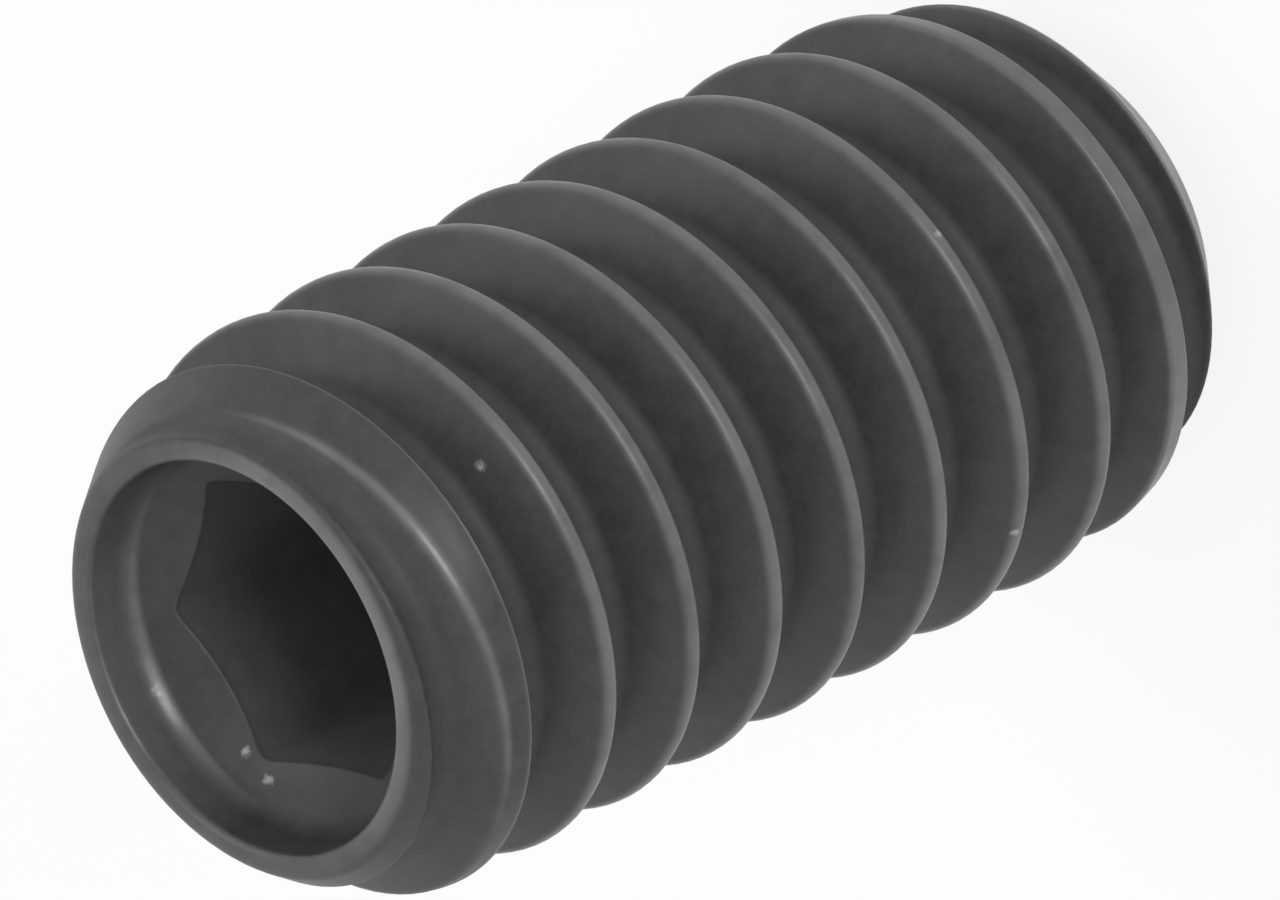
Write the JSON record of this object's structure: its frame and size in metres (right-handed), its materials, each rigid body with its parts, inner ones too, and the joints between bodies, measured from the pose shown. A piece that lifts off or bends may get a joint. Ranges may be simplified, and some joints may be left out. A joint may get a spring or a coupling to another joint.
{
  "type": "socket set screw",
  "caption": "Headless grub set screw in black-oxide steel, threaded over its whole length, with a hex socket in one end and a flat chamfered point on the other.",
  "frame": {"origin": "centre of the flat point's face, which the screw stands on", "axes": "+Z along the screw's own axis, from the point to the socket end; +X towards a corner of the hex socket"},
  "size_m": [0.0064, 0.0064, 0.0127],
  "materials": {
    "black_steel": "black oxide, satin, brighter on the worn crests"
  },
  "bodies": {
    "root": {"set_screw": "black_steel"}
  },
  "joints": []
}
